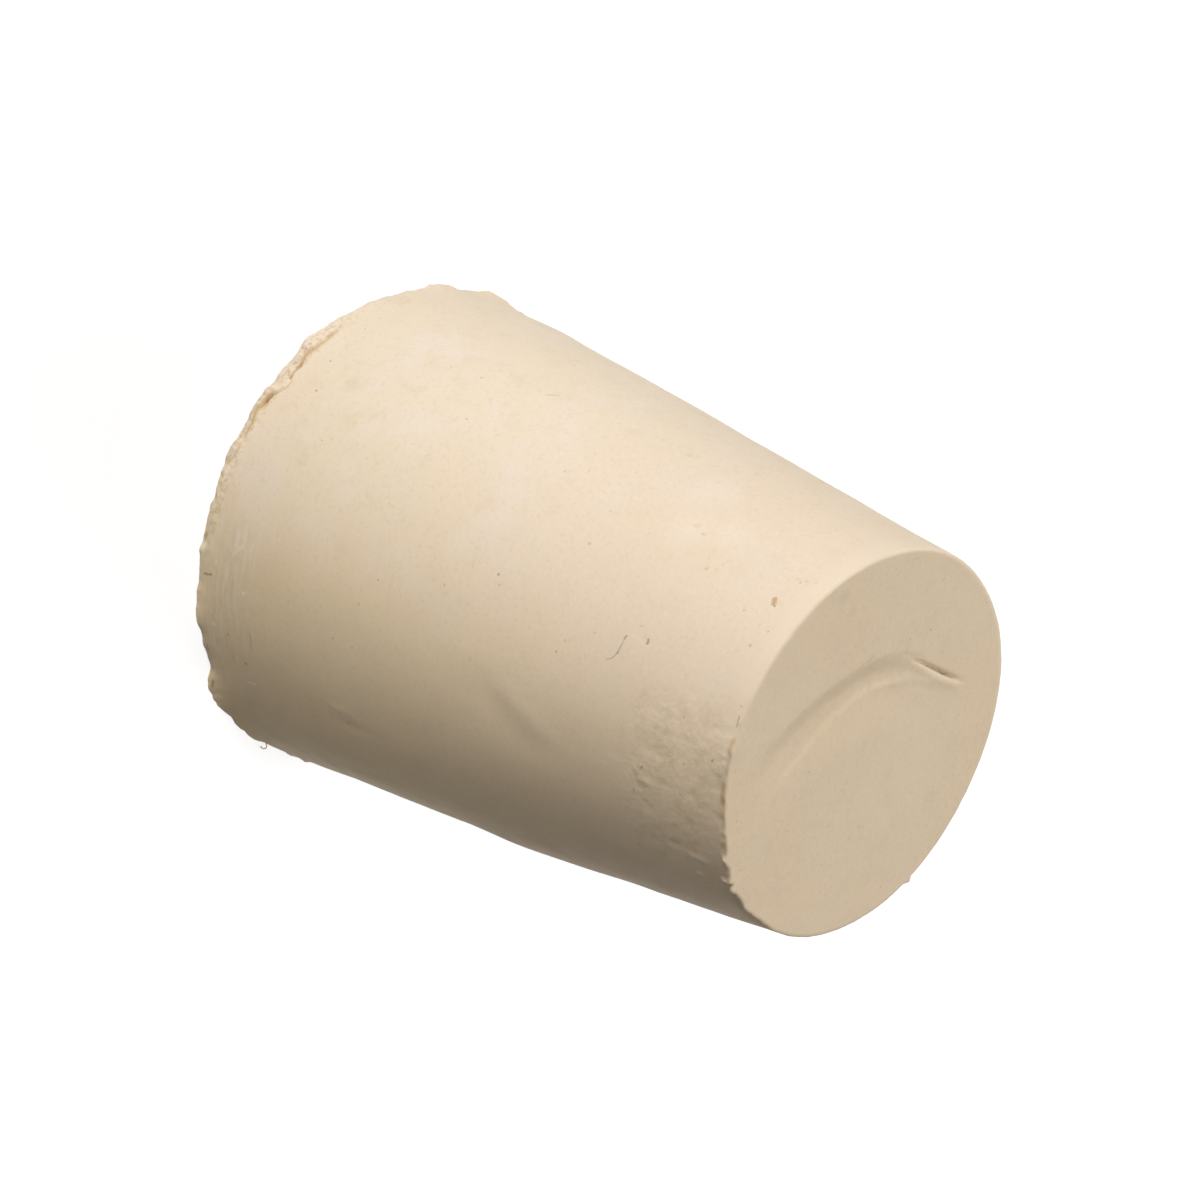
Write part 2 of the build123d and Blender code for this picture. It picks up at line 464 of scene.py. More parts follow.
face_radii = np.concatenate([
    [6.93, 6.84, 6.7, 6.5], np.linspace(6.3, 5.1, 7), np.linspace(5.0, 1.9, 46),
    np.linspace(1.7, 0.25, 7),
])
rim_follow = 12  # the outer rings follow the ragged rim, and the inner ones are round
face_shares = (face_radii / small_radius)[:, None]
ring_radii = face_radii[:, None] + (wall[-1] - small_radius) * face_shares ** rim_follow
face_turns = np.repeat(angles[None, :], len(face_radii), 0)
face_points = around(ring_radii, face_turns, 0.0)
face_points[..., 2] = face_level(face_points[..., 0], face_points[..., 1])
relief = crease_relief(face_points[..., 0], face_points[..., 1])
relief += layered(face_points, ((0.020, 3.0, 15), (0.006, 0.8, 16), (0.003, 0.3, 17)))
face_points[..., 2] += relief

# Wide face: flat, since the stopper stands on it
wide_shares = (0.06, 0.25, 0.5, 0.75, 0.9, 0.975)
wide_points = np.array([around(share * wall[0], angles, 0.0) for share in wide_shares])

# All the rings, from the wide face up the side to the small face, kept inside the CAD model's box
rings = np.concatenate([wide_points, wall_points, face_points])
low_corner = np.array(cad_box[0]) * 1000
high_corner = np.array(cad_box[1]) * 1000
rings = np.clip(rings, low_corner, high_corner)
ring_count, column_count = rings.shape[:2]
face_centre = (0, 0, float(face_level(0, 0) + relief[-1].mean()))
vertices = rings.reshape(-1, 3).tolist() + [(0, 0, 0), face_centre]
column = np.arange(column_count)
onward = (column + 1) % column_count
faces = []
for ring in range(ring_count - 1):
    low = ring * column_count
    high = low + column_count
    faces += np.stack([low + column, low + onward, high + onward, high + column], 1).tolist()
last_ring = (ring_count - 1) * column_count
wide_middle = len(vertices) - 2
face_middle = len(vertices) - 1
for low, high in zip(column.tolist(), onward.tolist()):
    faces.append((wide_middle, high, low))
for low, high in zip(column.tolist(), onward.tolist()):
    faces.append((face_middle, last_ring + low, last_ring + high))

# A thin sliver of the flash, torn free at one end, that curls away from the lip. It is a fine
# six-sided cord along a smooth line, closed at both ends, and its root is sunk in the lip.
sliver_line = (
    (9.39, -1.94, 0.14),
    (9.45, -1.79, 0.12),
    (9.54, -1.67, 0.10),
    (9.62, -1.67, 0.10),
    (9.67, -1.77, 0.12),
    (9.65, -1.96, 0.15),
    (9.61, -2.00, 0.17),
)
sliver_radius = 0.022
sliver_sides = 6
sliver_steps = 4
sliver, _ = smooth_line(sliver_line, sliver_steps)
round_sliver = 2 * pi * np.arange(sliver_sides)[:, None] / sliver_sides
first_ring = len(vertices)
for point, ahead in zip(sliver, np.gradient(sliver, axis=0)):
    across = np.cross(ahead, (0, 0, 1))
    over = np.cross(across, ahead)
    across, over = across / np.linalg.norm(across), over / np.linalg.norm(over)
    ring = point + sliver_radius * (np.cos(round_sliver) * across + np.sin(round_sliver) * over)
    vertices += ring.tolist()
for low in range(first_ring, len(vertices) - sliver_sides, sliver_sides):
    high = low + sliver_sides
    for side in range(sliver_sides):
        beside = (side + 1) % sliver_sides
        faces.append((low + side, high + side, high + beside, low + beside))
faces.append(tuple(range(first_ring, first_ring + sliver_sides)))
faces.append(tuple(range(len(vertices) - sliver_sides, len(vertices)))[::-1])

stopper_mesh = bpy.data.meshes.new("rubber_stopper")
stopper_mesh.from_pydata([(x / 1000, y / 1000, z / 1000) for x, y, z in vertices], [], faces)
stopper_mesh.validate()
stopper_mesh.update()
stopper_mesh.shade_smooth()
first_wall = len(wide_points) * column_count
for name, amounts in (("stain_and_shade", stain_and_shade), ("torn", torn)):
    spread = stopper_mesh.attributes.new(name, "FLOAT", "POINT")
    values = np.zeros(len(vertices))
    values[first_wall:first_wall + amounts.size] = amounts.ravel()
    spread.data.foreach_set("value", values)
stopper = bpy.data.objects.new("rubber_stopper", stopper_mesh)
bpy.context.scene.collection.objects.link(stopper)

# Rubber of the stopper: a satin cream side with dust, flecks and scuffs in it, painted sheen,
# highlights and shade in places, and a matte cut small face. Marks are placed in millimetres on
# the stopper itself.
rubber = bpy.data.materials.new("cream_rubber")
rubber.use_nodes = True
rubber_tree = rubber.node_tree
rubber_tree.nodes.clear()


def add(tree, kind, inputs=(), **settings):
    """Add a node to a material or a group. Each of its inputs is given a value or a source."""
    node = tree.nodes.new(kind)
    for name, value in settings.items():
        setattr(node, name, value)
    for name, value in dict(inputs).items():
        if isinstance(value, bpy.types.NodeSocket):
            tree.links.new(value, node.inputs[name])
        else:
            node.inputs[name].default_value = value
    return node


def math(tree, operation, first, second=0.0, third=0.0):
    """A Math node's result."""
    node = add(tree, "ShaderNodeMath", {0: first, 1: second, 2: third}, operation=operation)
    return node.outputs[0]


def vector(tree, operation, first, second=(0, 0, 0), output="Vector"):
    """A Vector Math node's result."""
    node = add(tree, "ShaderNodeVectorMath", {0: first, 1: second}, operation=operation)
    return node.outputs[output]


def step(tree, value, first, last, low=0.0, high=1.0):
    """Smooth step of a value, from low at first to high at last."""
    node = add(
        tree, "ShaderNodeMapRange",
        {0: value, 1: first, 2: last, 3: low, 4: high},
        interpolation_type="SMOOTHSTEP",
    )
    return node.outputs[0]


def tint(tree, amount, under, over, blend="MIX"):
    """One colour mixed over another by an amount."""
    node = add(
        tree, "ShaderNodeMix", {0: amount, 6: under, 7: over}, data_type="RGBA", blend_type=blend
    )
    return node.outputs[2]


def speckle(tree, place, size, detail=2.0, roughness=0.5, output="Fac"):
    """Noise texture with features of about one size in millimetres."""
    node = add(tree, "ShaderNodeTexNoise", {
        "Vector": place, "Scale": 1 / size, "Detail": detail, "Roughness": roughness,
    })
    return node.outputs[output]


# One fleck or scratch: a mask round the stroke between two points
fleck = bpy.data.node_groups.new("fleck", "ShaderNodeTree")
for name in ("Place", "First", "Last"):
    fleck.interface.new_socket(name, in_out="INPUT", socket_type="NodeSocketVector")
fleck.interface.new_socket("Width", in_out="INPUT", socket_type="NodeSocketFloat")
fleck.interface.new_socket("Softness", in_out="INPUT", socket_type="NodeSocketFloat")
fleck.interface.new_socket("Mask", in_out="OUTPUT", socket_type="NodeSocketFloat")
asked = fleck.nodes.new("NodeGroupInput").outputs
given = fleck.nodes.new("NodeGroupOutput")
run = vector(fleck, "SUBTRACT", asked["Last"], asked["First"])
gone = vector(fleck, "SUBTRACT", asked["Place"], asked["First"])
length = vector(fleck, "DOT_PRODUCT", run, run, "Value")
along = vector(fleck, "DOT_PRODUCT", gone, run, "Value")
along = math(fleck, "DIVIDE", along, math(fleck, "MAXIMUM", length, 0.0001))
along = math(fleck, "MINIMUM", math(fleck, "MAXIMUM", along, 0.0), 1.0)
scaled = add(fleck, "ShaderNodeVectorMath", {0: run, 3: along}, operation="SCALE")
near = vector(fleck, "ADD", asked["First"], scaled.outputs[0])
far = vector(fleck, "DISTANCE", asked["Place"], near, "Value")
inner = math(fleck, "MULTIPLY", asked["Width"], math(fleck, "SUBTRACT", 1.0, asked["Softness"]))
mask = step(fleck, far, asked["Width"], inner)
fleck.links.new(mask, given.inputs["Mask"])

position = add(rubber_tree, "ShaderNodeTexCoord").outputs["Object"]
place = add(
    rubber_tree, "ShaderNodeVectorMath", {0: position, 3: 1000.0}, operation="SCALE"
).outputs[0]

# Marks get ragged edges from a place that wanders a little from the true one
wander = speckle(rubber_tree, place, 0.12, output="Color")
wander = vector(rubber_tree, "SUBTRACT", wander, (0.5, 0.5, 0.5))
wander = add(rubber_tree, "ShaderNodeVectorMath", {0: wander, 3: 0.09}, operation="SCALE")
ragged_place = vector(rubber_tree, "ADD", place, wander.outputs[0])


def flecks(marks, softness):
    """The strongest of several marks, from the first and last point, width and strength."""
    total = 0.0
    for first, last, width, strength in marks:
        if first == last:
            far = vector(rubber_tree, "DISTANCE", ragged_place, first, "Value")
            shown = step(rubber_tree, far, width, width * (1 - softness), 0.0, strength)
            total = math(rubber_tree, "MAXIMUM", shown, total)
            continue
        group = add(rubber_tree, "ShaderNodeGroup", {
            "Place": ragged_place, "First": first, "Last": last,
            "Width": width, "Softness": softness,
        }, node_tree=fleck)
        shown = math(rubber_tree, "MULTIPLY", group.outputs["Mask"], strength)
        total = math(rubber_tree, "MAXIMUM", shown, total)
    return total


def dots(spots):
    """Round marks on the side, from level, angle, width and strength."""
    points = [on_side(level, angle) for level, angle, _, _ in spots]
    return [(point, point, *spot[2:]) for point, spot in zip(points, spots)]


def face_dots(spots):
    """Round marks on the small face, from x, y, width and strength."""
    points = [Vector((x, y, face_level(x, y))) for x, y, _, _ in spots]
    return [(point, point, *spot[2:]) for point, spot in zip(points, spots)]


def strokes(runs):
    """Long marks on the side, from the level and angle of both ends, width and strength."""
    return [(on_side(*run[:2]), on_side(*run[2:4]), *run[4:]) for run in runs]


# The small face, apart from the side
parts = add(rubber_tree, "ShaderNodeSeparateXYZ", {0: place}).outputs
from_axis = math(rubber_tree, "SQRT", math(
    rubber_tree, "ADD",
    math(rubber_tree, "MULTIPLY", parts[0], parts[0]),
    math(rubber_tree, "MULTIPLY", parts[1], parts[1]),
))
on_face = math(
    rubber_tree, "MULTIPLY",
    step(rubber_tree, parts[2], 22.4, 22.7),
    step(rubber_tree, from_axis, 6.99, 6.90),
)

# Body colour: cream that drifts a little warmer, with painted sheen in pale clouds down the side
# that faces the key lamp, painted shade that makes the side darker and browner towards the small
# end, and a fine mottle. The cut face is cooler.
cream = (0.875, 0.70, 0.460, 1)
warm_cream = (0.865, 0.68, 0.435, 1)
sheen_cream = (0.875, 0.74, 0.575, 1)
sheen_cloud_cream = (0.90, 0.765, 0.65, 1)
small_end_brown = (0.77, 0.62, 0.465, 1)
mottle_brown = (0.78, 0.63, 0.44, 1)
fine_brown = (0.68, 0.54, 0.37, 1)
fine_pale = (0.93, 0.79, 0.60, 1)
face_cool = (0.955, 0.965, 1.035, 1)
off_face = math(rubber_tree, "SUBTRACT", 1.0, on_face)
drift = speckle(rubber_tree, place, 4.5)
colour = tint(rubber_tree, step(rubber_tree, drift, 0.35, 0.70), cream, warm_cream)
# Painted sheen: paler cream, in clouds, on the side that faces the key lamp, where its soft
# highlight falls
sheen_side = vector(rubber_tree, "DOT_PRODUCT", place, (-0.707, -0.707, 0), "Value")
painted_sheen = step(rubber_tree, math(rubber_tree, "DIVIDE", sheen_side, from_axis), 0.25, 1.0)
painted_sheen = math(rubber_tree, "MULTIPLY", painted_sheen, step(rubber_tree, drift, 0.2, 0.8, 0.75, 1.0))
painted_sheen = math(rubber_tree, "MULTIPLY", painted_sheen, off_face)
colour = tint(rubber_tree, painted_sheen, colour, sheen_cream)
sheen_clouds = speckle(rubber_tree, place, 3.0, 3.0, 0.6)
sheen_clouds = math(rubber_tree, "MULTIPLY", painted_sheen, step(rubber_tree, sheen_clouds, 0.46, 0.70, 0.0, 0.8))
colour = tint(rubber_tree, sheen_clouds, colour, sheen_cloud_cream)
# Painted shade: the side darker and browner towards the small end
small_end_shade = step(rubber_tree, parts[2], 6.0, 21.0, 0.0, 0.5)
small_end_shade = math(rubber_tree, "MULTIPLY", small_end_shade, off_face)
colour = tint(rubber_tree, small_end_shade, colour, small_end_brown)
mottle = speckle(rubber_tree, place, 0.9, 4.0, 0.6)
mottling = step(rubber_tree, mottle, 0.50, 0.78, 0.0, 0.45)
colour = tint(rubber_tree, mottling, colour, mottle_brown)
fine = speckle(rubber_tree, place, 0.16, 3.0, 0.6)
fine_dark = step(rubber_tree, fine, 0.52, 0.78, 0.0, 0.38)
colour = tint(rubber_tree, fine_dark, colour, fine_brown)
fine_light = step(rubber_tree, fine, 0.48, 0.25, 0.0, 0.30)
colour = tint(rubber_tree, fine_light, colour, fine_pale)
face_colour = tint(rubber_tree, 1.0, colour, face_cool, "MULTIPLY")
colour = tint(rubber_tree, on_face, colour, face_colour)

# Pale patches near the small end on the side that faces the key lamp, partly dry paler rubber and
# partly painted highlight, and soft tan blotches
highlight_patches = flecks(dots((
    (18.52, -121.8, 1.3, 0.30), (19.75, -126.8, 1.1, 0.30), (17.91, -136.7, 1.5, 0.22),
)), 1.0)
colour = tint(rubber_tree, highlight_patches, colour, (0.93, 0.81, 0.70, 1))
tan_blotches = flecks(dots((
    (18.56, -124.2, 0.20, 0.30), (19.01, -122.8, 0.13, 0.40), (20.07, -114.6, 0.12, 0.45),
    (20.37, -115.2, 0.16, 0.25), (22.96, -123.9, 0.13, 0.40), (23.27, -124.6, 0.12, 0.40),
    (23.57, -125.4, 0.10, 0.35), (15.58, -144.3, 0.22, 0.28), (15.78, -145.4, 0.16, 0.22),
    (23.15, -100.9, 0.08, 0.40), (17.44, -140.3, 0.18, 0.18), (20.95, -135.9, 0.16, 0.15),
)), 0.9)
colour = tint(rubber_tree, tan_blotches, colour, (0.68, 0.49, 0.25, 1))

# Yellow brown specks of the mix, faint and small
speck_brown = (0.58, 0.39, 0.17, 1)
specks = flecks(dots((
    (12.97, -120.2, 0.07, 0.5), (15.04, -129.8, 0.07, 0.5), (15.72, -106.5, 0.08, 0.6),
    (20.02, -114.1, 0.07, 0.5), (18.95, -122.7, 0.06, 0.5), (18.44, -123.8, 0.06, 0.5),
    (20.43, -117.4, 0.06, 0.4), (11.26, -83.0, 0.07, 0.7), (12.05, -89.6, 0.06, 0.5),
    (16.46, -79.3, 0.08, 0.8), (16.65, -82.6, 0.07, 0.7), (17.64, -87.3, 0.06, 0.5),
    (23.13, -101.1, 0.07, 0.6), (23.40, -106.5, 0.07, 0.6), (22.20, -108.7, 0.06, 0.5),
    (15.54, -116.4, 0.06, 0.4), (18.16, -99.0, 0.06, 0.4), (19.15, -93.7, 0.06, 0.5),
    (5.58, -131.8, 0.07, 0.5), (8.20, -154.4, 0.07, 0.5), (9.04, -161.4, 0.07, 0.4),
    (6.95, -133.0, 0.07, 0.6), (8.15, -120.7, 0.07, 0.6), (14.26, -144.6, 0.06, 0.5),
    (13.65, -123.6, 0.06, 0.5), (16.91, -169.6, 0.07, 0.4), (8.48, -77.8, 0.07, 0.7),
    (7.91, -70.9, 0.07, 0.7), (7.83, -60.3, 0.07, 0.7), (4.62, -64.7, 0.07, 0.6),
    (6.89, -60.5, 0.08, 0.7), (23.11, -123.3, 0.07, 0.6), (3.56, -101.0, 0.06, 0.5),
    (1.19, -130.6, 0.07, 0.5), (22.36, -65.3, 0.07, 0.6), (20.51, -74.4, 0.06, 0.5),
)) + strokes((
    (9.47, -138.0, 9.79, -139.7, 0.10, 0.35),
)) + face_dots((
    (1.58, -2.35, 0.06, 0.8), (3.66, -1.96, 0.06, 0.6), (2.99, 0.05, 0.06, 0.5),
    (3.98, 0.22, 0.06, 0.5), (2.63, 1.79, 0.06, 0.6), (4.26, 4.64, 0.06, 0.5),
    (-2.31, 4.38, 0.06, 0.5), (-4.45, 0.49, 0.06, 0.6), (-4.0, 1.72, 0.06, 0.5),
    (3.98, -4.85, 0.06, 0.6), (5.42, -3.46, 0.06, 0.6),
)), 0.8)
colour = tint(rubber_tree, specks, colour, speck_brown)

# The same specks, scattered over the side that is turned away from the placed ones
scatter = add(rubber_tree, "ShaderNodeTexVoronoi", {"Vector": ragged_place, "Scale": 0.75})
scatter = step(rubber_tree, scatter.outputs["Distance"], 0.065, 0.02, 0.0, 0.6)
scatter = math(rubber_tree, "MULTIPLY", scatter, step(rubber_tree, parts[1], 1.0, 3.0))
colour = tint(rubber_tree, scatter, colour, speck_brown)

# Torn lip: pale folds and tan hollows in its ragged rubber, a mottle that is partly its own
# colour and partly painted highlight on the folds and painted shade in the hollows
torn = add(rubber_tree, "ShaderNodeAttribute", attribute_name="torn").outputs["Fac"]
torn_rubber = speckle(rubber_tree, place, 0.17, 3.0, 0.65)
hollows = step(rubber_tree, torn_rubber, 0.46, 0.68, 0.0, 0.75)
hollows = math(rubber_tree, "MULTIPLY", torn, hollows)
colour = tint(rubber_tree, hollows, colour, (0.58, 0.41, 0.23, 1))
folds = step(rubber_tree, torn_rubber, 0.46, 0.30, 0.0, 0.4)
folds = math(rubber_tree, "MULTIPLY", torn, folds)
colour = tint(rubber_tree, folds, colour, (0.93, 0.82, 0.66, 1))

# Darker dirt pressed into the surface, and painted shade: dark lines along the ridge arc near -58
# degrees, beside its painted highlight, and along the small rim near -82 degrees
dirt_and_shade = flecks(dots((
    (23.00, -113.6, 0.07, 0.9), (1.89, -110.7, 0.07, 0.6), (1.39, -118.6, 0.06, 0.5),
    (0.12, -71.5, 0.10, 0.7), (23.86, -85.7, 0.06, 0.7),
    (21.59, -63.6, 0.06, 0.5), (23.40, -69.2, 0.07, 0.6), (22.35, -56.8, 0.06, 0.5),
    (2.17, -44.1, 0.12, 0.4), (7.15, -38.3, 0.14, 0.3), (1.43, -50.2, 0.12, 0.25),
)) + strokes((
    (20.76, -60.4, 20.62, -58.6, 0.045, 0.5),
    (20.62, -58.6, 20.80, -56.5, 0.045, 0.5), (20.80, -56.5, 21.10, -56.0, 0.04, 0.4),
    (23.62, -65.8, 23.76, -64.0, 0.035, 0.5),
    (23.92, -83.0, 23.95, -80.4, 0.05, 0.5),
    (0.24, -62.6, 0.58, -63.0, 0.08, 0.6), (2.65, -52.7, 2.65, -49.1, 0.08, 0.22),
)) + face_dots((
    (-1.67, 0.18, 0.06, 0.6), (1.78, -4.67, 0.05, 0.5), (2.74, -4.03, 0.05, 0.5),
    (-0.98, 6.12, 0.05, 0.4), (4.29, 0.73, 0.05, 0.3), (-3.83, -0.36, 0.05, 0.4),
)), 0.7)
colour = tint(rubber_tree, dirt_and_shade, colour, (0.33, 0.19, 0.08, 1))

# Three orange brown flecks of the mix
orange = flecks(strokes((
    (22.84, -115.4, 22.92, -114.2, 0.130, 0.75), (19.63, -91.2, 19.67, -90.3, 0.070, 0.9),
    (20.41, -52.8, 20.43, -52.4, 0.060, 0.7),
)), 0.7)
colour = tint(rubber_tree, orange, colour, (0.52, 0.31, 0.12, 1))

# Brown painted shade in the crack and under the small rim, and brown along the root of the lip
# and in its nicks
stain_and_shade_amount = add(rubber_tree, "ShaderNodeAttribute", attribute_name="stain_and_shade").outputs["Fac"]
colour = tint(rubber_tree, step(rubber_tree, stain_and_shade_amount, 0.0, 0.6), colour, (0.62, 0.43, 0.23, 1))
colour = tint(rubber_tree, step(rubber_tree, stain_and_shade_amount, 0.5, 1.0), colour, (0.32, 0.19, 0.09, 1))

# Brown left in the hollows of the pitted band
pitted_zone = math(
    rubber_tree, "MULTIPLY",
    step(rubber_tree, parts[2], 19.3, 20.6), step(rubber_tree, parts[1], -2.5, -4.5),
)
pitted_zone = math(rubber_tree, "MULTIPLY", pitted_zone, step(rubber_tree, parts[0], -0.2, 2.4))
pitted_zone = math(rubber_tree, "MULTIPLY", pitted_zone, off_face)
brown_hollows = speckle(rubber_tree, place, 0.45, 3.0, 0.6)
brown_hollows = step(rubber_tree, brown_hollows, 0.48, 0.72, 0.0, 0.32)
brown_hollows = math(rubber_tree, "MULTIPLY", pitted_zone, brown_hollows)
colour = tint(rubber_tree, brown_hollows, colour, (0.60, 0.45, 0.27, 1))

# Grey smudges and stains
smudge = flecks(dots((
    (2.98, -115.7, 0.50, 0.20),
)) + face_dots((
    (-4.11, -4.84, 0.38, 0.22), (-3.79, -4.10, 0.30, 0.20), (-6.17, -0.13, 0.12, 0.35),
)), 0.9)
colour = tint(rubber_tree, smudge, colour, (0.52, 0.46, 0.36, 1))

# Dust caught on the rubber, scuffs that rubbed it pale, and painted highlights: pale dabs on the
# two burrs at the small rim, on the flake under the rim near -31 degrees and along the ridge arc
# near -58 degrees
dust_and_highlights = flecks(dots((
    (1.81, -71.5, 0.08, 0.8), (2.32, -61.9, 0.11, 1.0), (0.72, -51.4, 0.15, 1.0),
    (0.78, -66.3, 0.12, 0.6),
    (22.71, -60.9, 0.08, 0.4), (22.67, -47.8, 0.10, 0.3), (23.79, -71.8, 0.07, 0.4),
    (23.85, -69.6, 0.06, 0.5), (23.20, -60.0, 0.14, 0.25), (22.68, -32.0, 0.09, 0.3),
)) + strokes((
    (1.78, -74.5, 1.53, -68.0, 0.06, 0.22), (2.28, -71.7, 2.10, -64.4, 0.06, 0.22),
    (0.95, -62.0, 0.85, -50.0, 0.07, 0.30), (21.64, -38.4, 21.90, -37.9, 0.12, 0.30),
    (22.60, -37.8, 23.07, -36.8, 0.18, 0.40),
    (22.57, -31.2, 22.80, -30.8, 0.12, 0.5), (1.99, -58.5, 2.01, -51.8, 0.08, 0.25),
    (0.99, -57.3, 0.89, -53.4, 0.09, 0.25), (2.12, -71.7, 2.21, -67.0, 0.09, 0.25),
    (1.58, -69.5, 1.95, -72.0, 0.10, 0.35), (2.05, -38.5, 2.40, -38.8, 0.10, 0.75),
    (23.58, -31.4, 23.84, -31.2, 0.11, 0.7),
    (1.29, -121.1, 2.18, -120.0, 0.07, 0.12), (20.60, -59.8, 20.75, -56.2, 0.06, 0.3),
)), 0.8)
colour = tint(rubber_tree, dust_and_highlights, colour, (0.95, 0.88, 0.77, 1))

# Fine rubbed streaks round the foot of the dark side
streak_length = 1.5
streak_width = 0.20
round_way = vector(rubber_tree, "DOT_PRODUCT", place, (0.87, 0.50, 0.0), "Value")
streak_place = add(rubber_tree, "ShaderNodeCombineXYZ", {
    0: math(rubber_tree, "DIVIDE", round_way, streak_length),
    1: math(rubber_tree, "DIVIDE", parts[2], streak_width),
}).outputs[0]
streak = add(rubber_tree, "ShaderNodeTexNoise", {
    "Vector": streak_place, "Scale": 1.0, "Detail": 2.0,
}).outputs[0]
foot = math(rubber_tree, "MULTIPLY", step(rubber_tree, parts[2], 3.4, 1.6), math(
    rubber_tree, "MULTIPLY",
    step(rubber_tree, parts[1], -4.5, -6.5), step(rubber_tree, parts[0], 0.5, 3.0),
))
pale_streaks = step(rubber_tree, streak, 0.52, 0.72, 0.0, 0.44)
pale_streaks = math(rubber_tree, "MULTIPLY", foot, pale_streaks)
colour = tint(rubber_tree, pale_streaks, colour, (0.93, 0.88, 0.78, 1))
dark_streaks = step(rubber_tree, streak, 0.45, 0.25, 0.0, 0.28)
dark_streaks = math(rubber_tree, "MULTIPLY", foot, dark_streaks)
colour = tint(rubber_tree, dark_streaks, colour, (0.62, 0.48, 0.32, 1))

# Grey lint: one thin hair and a few dots
lint = flecks(strokes((
    (18.81, -89.8, 18.74, -85.0, 0.036, 0.80), (18.74, -85.0, 18.64, -83.4, 0.030, 0.45),
    (18.64, -83.4, 18.43, -82.5, 0.030, 0.40),
)) + dots((
    (13.16, -90.4, 0.07, 0.6), (21.96, -77.1, 0.06, 0.4), (13.37, -88.2, 0.05, 0.4),
)), 0.4)
colour = tint(rubber_tree, lint, colour, (0.33, 0.31, 0.28, 1))

# Worn edges and the cut rim are a little paler and drier
rim_wear = math(
    rubber_tree, "MULTIPLY",
    step(rubber_tree, parts[2], 23.2, 23.9),
    step(rubber_tree, from_axis, 6.80, 7.00),
)
rim_wear = math(rubber_tree, "MULTIPLY", rim_wear, step(rubber_tree, fine, 0.3, 0.6, 0.0, 0.2))
colour = tint(rubber_tree, rim_wear, colour, (0.95, 0.80, 0.64, 1))

roughness = step(rubber_tree, mottle, 0.3, 0.75, 0.50, 0.62)
roughness = math(rubber_tree, "ADD", roughness, math(rubber_tree, "MULTIPLY", on_face, 0.22))

# Relief too fine for the mesh: the satin skin of the side and the grain of the cut face
skin = speckle(rubber_tree, place, 0.22, 3.0)
cut_grain = speckle(rubber_tree, place, 0.10, 4.0, 0.65)
skin_level = math(rubber_tree, "MULTIPLY_ADD", pitted_zone, 1.2, 0.5)
skin_height = math(rubber_tree, "MULTIPLY", skin, skin_level)
torn_height = math(rubber_tree, "MULTIPLY", torn, torn_rubber)
torn_height = math(rubber_tree, "MULTIPLY", torn_height, 2.5)
skin_height = math(rubber_tree, "ADD", skin_height, torn_height)
grain_height = math(rubber_tree, "MULTIPLY", cut_grain, 0.7)
fine_height = add(
    rubber_tree, "ShaderNodeMix", {0: on_face, 2: skin_height, 3: grain_height}
).outputs[0]
relief_bump = add(rubber_tree, "ShaderNodeBump", {
    "Height": fine_height, "Strength": 0.5, "Distance": 0.00002,
}).outputs[0]

shader = add(rubber_tree, "ShaderNodeBsdfPrincipled", {
    "Base Color": colour, "Roughness": roughness, "Normal": relief_bump,
    "Specular IOR Level": 0.05, "Sheen Weight": 0.1, "Sheen Roughness": 0.5,
})
surface = add(rubber_tree, "ShaderNodeOutputMaterial")
rubber_tree.links.new(shader.outputs[0], surface.inputs["Surface"])
stopper.data.materials.append(rubber)
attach(stopper, "root")
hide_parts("stopper")


# Floor: a plain round table top of matt white paper that the stopper stands on, which ends
# inside the ring of lamps. It looks white to the camera and in reflections, keeps a soft
# shadow, and throws little light back on to the stopper. From here on sizes are in metres.
floor_radius = 0.29
floor_sides = 96
floor_drop = 0.00001
floor_turns = [2 * pi * side / floor_sides for side in range(floor_sides)]
floor_rim = [(floor_radius * cos(turn), floor_radius * sin(turn), 0) for turn in floor_turns]
floor_mesh = bpy.data.meshes.new("floor")
floor_mesh.from_pydata(floor_rim, [], [tuple(range(floor_sides))])
floor = bpy.data.objects.new("floor", floor_mesh)
bpy.context.scene.collection.objects.link(floor)
floor.location.z = -floor_drop
paper = bpy.data.materials.new("white_paper")
paper.use_nodes = True
paper_tree = paper.node_tree
paper_tree.nodes.clear()
rays = add(paper_tree, "ShaderNodeLightPath").outputs
seen = math(paper_tree, "MAXIMUM", rays["Is Camera Ray"], math(
    paper_tree, "MAXIMUM", rays["Is Glossy Ray"], rays["Is Transmission Ray"]
))
dim = add(paper_tree, "ShaderNodeBsdfDiffuse", {"Color": (0.25, 0.25, 0.25, 1)})
lit = add(paper_tree, "ShaderNodeBsdfDiffuse", {"Color": (0.5, 0.5, 0.5, 1)})
glow = add(paper_tree, "ShaderNodeEmission", {"Color": (1, 1, 1, 1), "Strength": 0.76})
bright = add(paper_tree, "ShaderNodeAddShader", {0: lit.outputs[0], 1: glow.outputs[0]})
shown = add(paper_tree, "ShaderNodeMixShader", {
    0: seen, 1: dim.outputs[0], 2: bright.outputs[0],
})
surface = add(paper_tree, "ShaderNodeOutputMaterial")
paper_tree.links.new(shown.outputs[0], surface.inputs["Surface"])
floor.data.materials.append(paper)


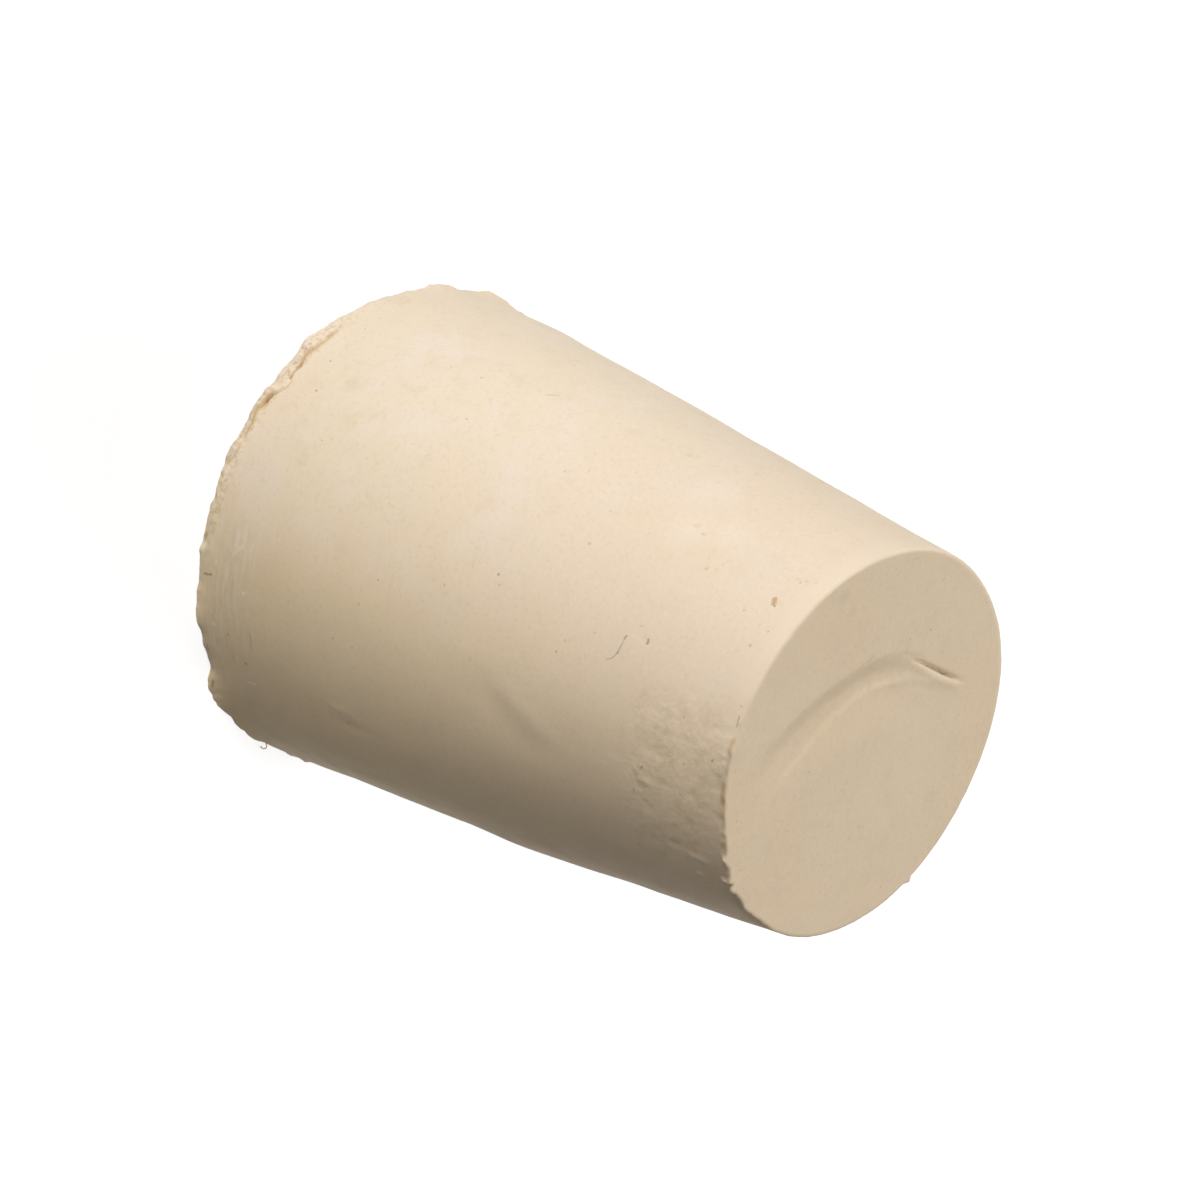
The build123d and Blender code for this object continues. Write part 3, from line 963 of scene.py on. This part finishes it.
# Studio light: big soft boxes round the table, and a pale room. Each box has an azimuth and
# elevation seen from the stopper, a distance, two sizes, a level and a colour. The low one is
# faint and a little warm. A box's power follows from its level and its distance.
soft_boxes = (
    ("key", -133, 12, 0.32, 0.34, 0.22, 0.87, (1, 1, 1)),
    ("fill", -102, 12, 0.32, 0.22, 0.22, 0.080, (1, 1, 1)),
    ("back", 90, 45, 0.32, 0.22, 0.22, 0.66, (1, 1, 1)),
    ("top", -130, 25, 0.32, 0.08, 0.08, 0.26, (1, 1, 1)),
    ("low", -43, 12, 0.32, 0.22, 0.22, 0.074, (1, 0.91, 0.83)),
)
middle = Vector((0, 0, 0.012))
for name, azimuth, elevation, distance, width, depth, level, hue in soft_boxes:
    toward = Vector((
        cos(radians(elevation)) * cos(radians(azimuth)),
        cos(radians(elevation)) * sin(radians(azimuth)),
        sin(radians(elevation)),
    ))
    box = bpy.data.lights.new(name, "AREA")
    box.shape = "RECTANGLE"
    box.size = width
    box.size_y = depth
    box.energy = level * pi ** 2 * distance ** 2
    box.color = hue
    lamp = bpy.data.objects.new(name, box)
    lamp.location = middle + toward * distance
    lamp.rotation_euler = (-toward).to_track_quat("-Z", "Y").to_euler()
    lamp.visible_camera = False
    bpy.context.scene.collection.objects.link(lamp)

room = bpy.data.worlds.new("pale_room")
room.use_nodes = True
room_tree = room.node_tree
room_tree.nodes.clear()
rays = add(room_tree, "ShaderNodeLightPath").outputs
seen = math(room_tree, "MAXIMUM", rays["Is Camera Ray"], math(
    room_tree, "MAXIMUM", rays["Is Glossy Ray"], rays["Is Transmission Ray"]
))
ambient = add(room_tree, "ShaderNodeBackground", {"Color": (1, 1, 1, 1), "Strength": 0.045})
backdrop = add(room_tree, "ShaderNodeBackground", {"Color": (1, 1, 1, 1), "Strength": 1.0})
shown = add(room_tree, "ShaderNodeMixShader", {
    0: seen, 1: ambient.outputs[0], 2: backdrop.outputs[0],
})
surface = add(room_tree, "ShaderNodeOutputWorld")
room_tree.links.new(shown.outputs[0], surface.inputs["Surface"])
bpy.context.scene.world = room
bpy.context.scene.view_settings.view_transform = "Standard"


# Camera: where the photograph was taken from, looking down on the stopper and rolled so that
# it seems to lie on its side
lens = bpy.data.cameras.new("camera")
lens.lens = 96
lens.sensor_width = 36
lens.clip_start = 0.005
lens.clip_end = 20
camera = bpy.data.objects.new("camera", lens)
right = Vector((-0.41847, 0.58483, 0.69488)).normalized()
ahead = Vector((-0.00651, 0.76314, -0.64620)).normalized()
up = right.cross(ahead)
camera_place = (0, -0.088476, 0.085619)
camera_turn = Matrix((right, up, -ahead)).transposed()
camera.matrix_world = Matrix.Translation(camera_place) @ camera_turn.to_4x4()
bpy.context.scene.collection.objects.link(camera)
bpy.context.scene.camera = camera
